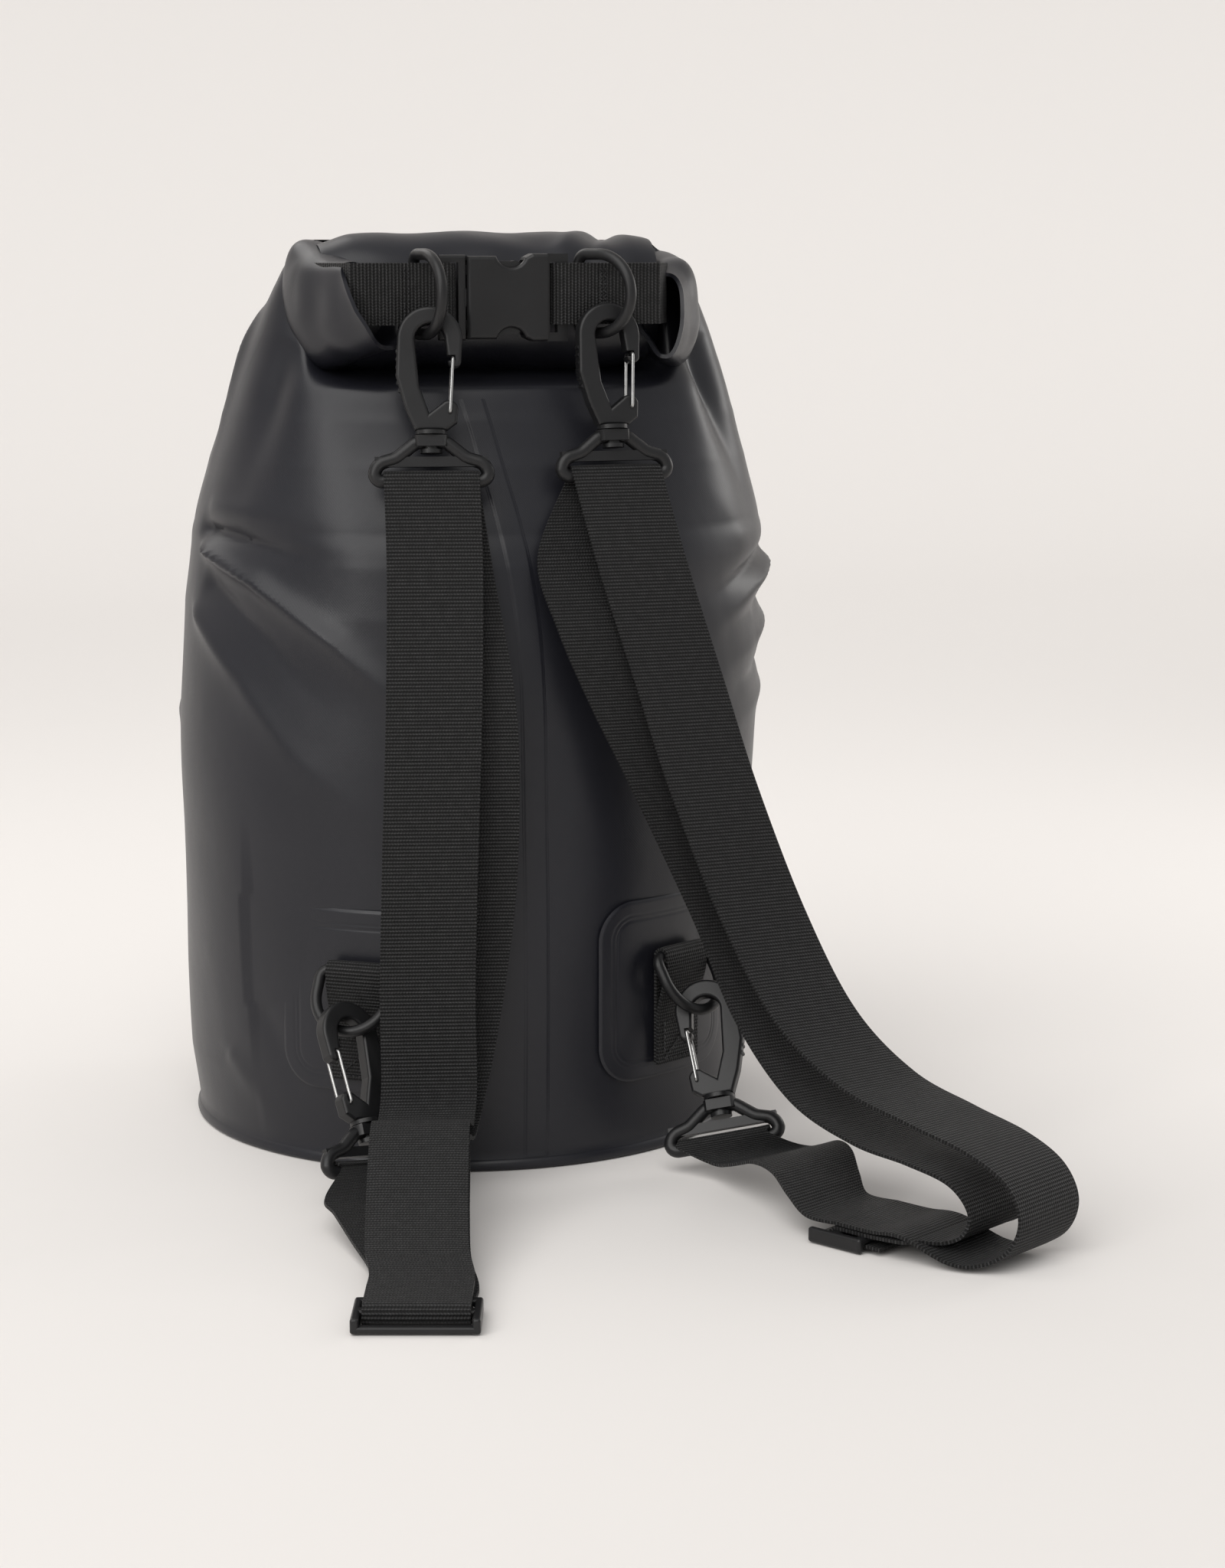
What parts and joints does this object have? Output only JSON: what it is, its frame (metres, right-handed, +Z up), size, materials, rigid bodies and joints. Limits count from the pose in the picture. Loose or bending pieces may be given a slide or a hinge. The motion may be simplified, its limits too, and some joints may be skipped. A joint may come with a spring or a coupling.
{
  "type": "roll-top rope bag",
  "caption": "Cylindrical roll-top dry bag for rope, closed with a side-release buckle, with two detachable webbing shoulder straps on swivel snap hooks.",
  "frame": {"origin": "centre of the round base on the ground", "axes": "+Z up, -Y is the side with the seam, the D-rings and the straps, +X to the right seen from that side"},
  "size_m": [0.299, 0.4311, 0.3785],
  "materials": {
    "tarpaulin": "satin coated black PVC tarpaulin",
    "seam": "satin, welded",
    "webbing": "ribbed woven black polyester",
    "plastic": "satin moulded black nylon",
    "gate_wire": "bright stainless wire"
  },
  "bodies": {
    "bag": {"bag_body": "tarpaulin", "base_disc": "tarpaulin", "base_rim": "seam", "seam_tape": "seam", "roll_top": "tarpaulin", "roll_stiffener": "plastic", "left_closure_webbing": "webbing", "right_closure_webbing": "webbing", "buckle_housing": "plastic", "left_strap": "webbing", "right_strap": "webbing", "left_strap_tail": "webbing", "right_strap_tail": "webbing", "left_patch": "tarpaulin", "right_patch": "tarpaulin", "left_tab": "webbing", "right_tab": "webbing"},
    "plug": {"buckle_plug": "plastic"},
    "upper_prong_part": {"upper_prong": "plastic"},
    "lower_prong_part": {"lower_prong": "plastic"},
    "left_slider_part": {"left_slider": "plastic"},
    "right_slider_part": {"right_slider": "plastic"},
    "upper_left_ring_part": {"upper_left_ring": "plastic"},
    "upper_left_frame_part": {"upper_left_frame": "plastic"},
    "upper_left_hook_part": {"upper_left_hook": "plastic"},
    "upper_left_gate_part": {"upper_left_gate": "gate_wire"},
    "upper_right_ring_part": {"upper_right_ring": "plastic"},
    "upper_right_frame_part": {"upper_right_frame": "plastic"},
    "upper_right_hook_part": {"upper_right_hook": "plastic"},
    "upper_right_gate_part": {"upper_right_gate": "gate_wire"},
    "lower_left_ring_part": {"lower_left_ring": "plastic"},
    "lower_left_frame_part": {"lower_left_frame": "plastic"},
    "lower_left_hook_part": {"lower_left_hook": "plastic"},
    "lower_left_gate_part": {"lower_left_gate": "gate_wire"},
    "lower_right_ring_part": {"lower_right_ring": "plastic"},
    "lower_right_frame_part": {"lower_right_frame": "plastic"},
    "lower_right_hook_part": {"lower_right_hook": "plastic"},
    "lower_right_gate_part": {"lower_right_gate": "gate_wire"}
  },
  "joints": [
    {"name": "buckle_release", "type": "slide", "parent": "bag", "child": "plug", "axis": [-1, 0, 0], "range_m": [0, 0.005], "deforming": ["left_closure_webbing"]},
    {"name": "upper_prong_squeeze", "type": "hinge", "parent": "plug", "child": "upper_prong_part", "pos_m": [-0.0158, -0.08, 0.3635], "axis": [0, 1, 0], "range_deg": [0, 6], "stiffness_Nm_per_rad": 0.05, "springref_deg": -11.46},
    {"name": "lower_prong_squeeze", "type": "hinge", "parent": "plug", "child": "lower_prong_part", "pos_m": [-0.0158, -0.08, 0.3415], "axis": [0, -1, 0], "range_deg": [0, 6], "stiffness_Nm_per_rad": 0.05, "springref_deg": -11.46},
    {"name": "upper_left_frame_swing", "type": "hinge", "parent": "bag", "child": "upper_left_frame_part", "pos_m": [-0.037, -0.08, 0.354], "axis": [0, 0, 1], "range_deg": [-15, 20], "deforming": ["left_strap"]},
    {"name": "upper_left_ring_swing", "type": "hinge", "parent": "bag", "child": "upper_left_ring_part", "pos_m": [-0.037, -0.08, 0.354], "axis": [0, 0, 1], "range_deg": [-15, 20]},
    {"name": "upper_left_hook_swivel", "type": "hinge", "parent": "upper_left_frame_part", "child": "upper_left_hook_part", "pos_m": [-0.03469, -0.09967, 0.30055], "axis": [0.0272, 0.1541, 0.9877], "range_deg": [0, 12]},
    {"name": "upper_left_gate_open", "type": "hinge", "parent": "upper_left_hook_part", "child": "upper_left_gate_part", "pos_m": [-0.02701, -0.09991, 0.30747], "axis": [-0.1715, -0.9727, 0.1564], "range_deg": [0, 22], "stiffness_Nm_per_rad": 0.02, "springref_deg": -17.19},
    {"name": "upper_right_frame_swing", "type": "hinge", "parent": "bag", "child": "upper_right_frame_part", "pos_m": [0.031, -0.08, 0.354], "axis": [0, 0, 1], "range_deg": [-20, 0], "deforming": ["right_strap"]},
    {"name": "upper_right_ring_swing", "type": "hinge", "parent": "bag", "child": "upper_right_ring_part", "pos_m": [0.031, -0.08, 0.354], "axis": [0, 0, 1], "range_deg": [-20, 0]},
    {"name": "upper_right_hook_swivel", "type": "hinge", "parent": "upper_right_frame_part", "child": "upper_right_hook_part", "pos_m": [0.04054, -0.09688, 0.30155], "axis": [-0.0136, 0.1558, 0.9877], "range_deg": [0, 7]},
    {"name": "upper_right_gate_open", "type": "hinge", "parent": "upper_right_hook_part", "child": "upper_right_gate_part", "pos_m": [0.04801, -0.09513, 0.30847], "axis": [0.0861, -0.9839, 0.1564], "range_deg": [0, 22], "stiffness_Nm_per_rad": 0.02, "springref_deg": -17.19},
    {"name": "lower_left_frame_swing", "type": "hinge", "parent": "bag", "child": "lower_left_frame_part", "pos_m": [-0.06797, -0.10467, 0.084], "axis": [0.8387, -0.5446, 0], "range_deg": [-25, 3], "deforming": ["left_strap_tail"]},
    {"name": "lower_left_ring_swing", "type": "hinge", "parent": "bag", "child": "lower_left_ring_part", "pos_m": [-0.06797, -0.10467, 0.084], "axis": [0.8387, -0.5446, 0], "range_deg": [-25, 3]},
    {"name": "lower_left_hook_swivel", "type": "hinge", "parent": "lower_left_frame_part", "child": "lower_left_hook_part", "pos_m": [-0.07131, -0.13484, 0.02983], "axis": [-0.1037, 0.4741, 0.8744], "range_deg": [0, 12]},
    {"name": "lower_left_gate_open", "type": "hinge", "parent": "lower_left_hook_part", "child": "lower_left_gate_part", "pos_m": [-0.07886, -0.13473, 0.03688], "axis": [-0.4281, 0.7722, -0.4695], "range_deg": [0, 22], "stiffness_Nm_per_rad": 0.02, "springref_deg": -17.19},
    {"name": "lower_right_frame_swing", "type": "hinge", "parent": "bag", "child": "lower_right_frame_part", "pos_m": [0.06797, -0.10467, 0.084], "axis": [0.8387, 0.5446, 0], "range_deg": [-25, 3], "deforming": ["right_strap_tail"]},
    {"name": "lower_right_ring_swing", "type": "hinge", "parent": "bag", "child": "lower_right_ring_part", "pos_m": [0.06797, -0.10467, 0.084], "axis": [0.8387, 0.5446, 0], "range_deg": [-25, 3]},
    {"name": "lower_right_hook_swivel", "type": "hinge", "parent": "lower_right_frame_part", "child": "lower_right_hook_part", "pos_m": [0.07504, -0.13648, 0.03052], "axis": [0.0092, 0.5157, 0.8567], "range_deg": [-12, 0]},
    {"name": "lower_right_gate_open", "type": "hinge", "parent": "lower_right_hook_part", "child": "lower_right_gate_part", "pos_m": [0.06823, -0.13005, 0.0349], "axis": [0.4281, 0.7722, -0.4695], "range_deg": [0, 22], "stiffness_Nm_per_rad": 0.02, "springref_deg": -17.19},
    {"name": "left_slider_adjust", "type": "slide", "parent": "bag", "child": "left_slider_part", "axis": [0.2588, 0.9659, 0], "range_m": [-0.008, 0.008]},
    {"name": "right_slider_adjust", "type": "slide", "parent": "bag", "child": "right_slider_part", "axis": [0.5446, -0.8387, 0], "range_m": [-0.008, 0.008]}
  ],
  "couplings": [
    {"joint": "lower_prong_squeeze", "follows": "upper_prong_squeeze", "ratio": 1},
    {"joint": "upper_left_ring_swing", "follows": "upper_left_frame_swing", "ratio": 1},
    {"joint": "upper_right_ring_swing", "follows": "upper_right_frame_swing", "ratio": 1},
    {"joint": "lower_left_ring_swing", "follows": "lower_left_frame_swing", "ratio": 1},
    {"joint": "lower_right_ring_swing", "follows": "lower_right_frame_swing", "ratio": 1}
  ]
}
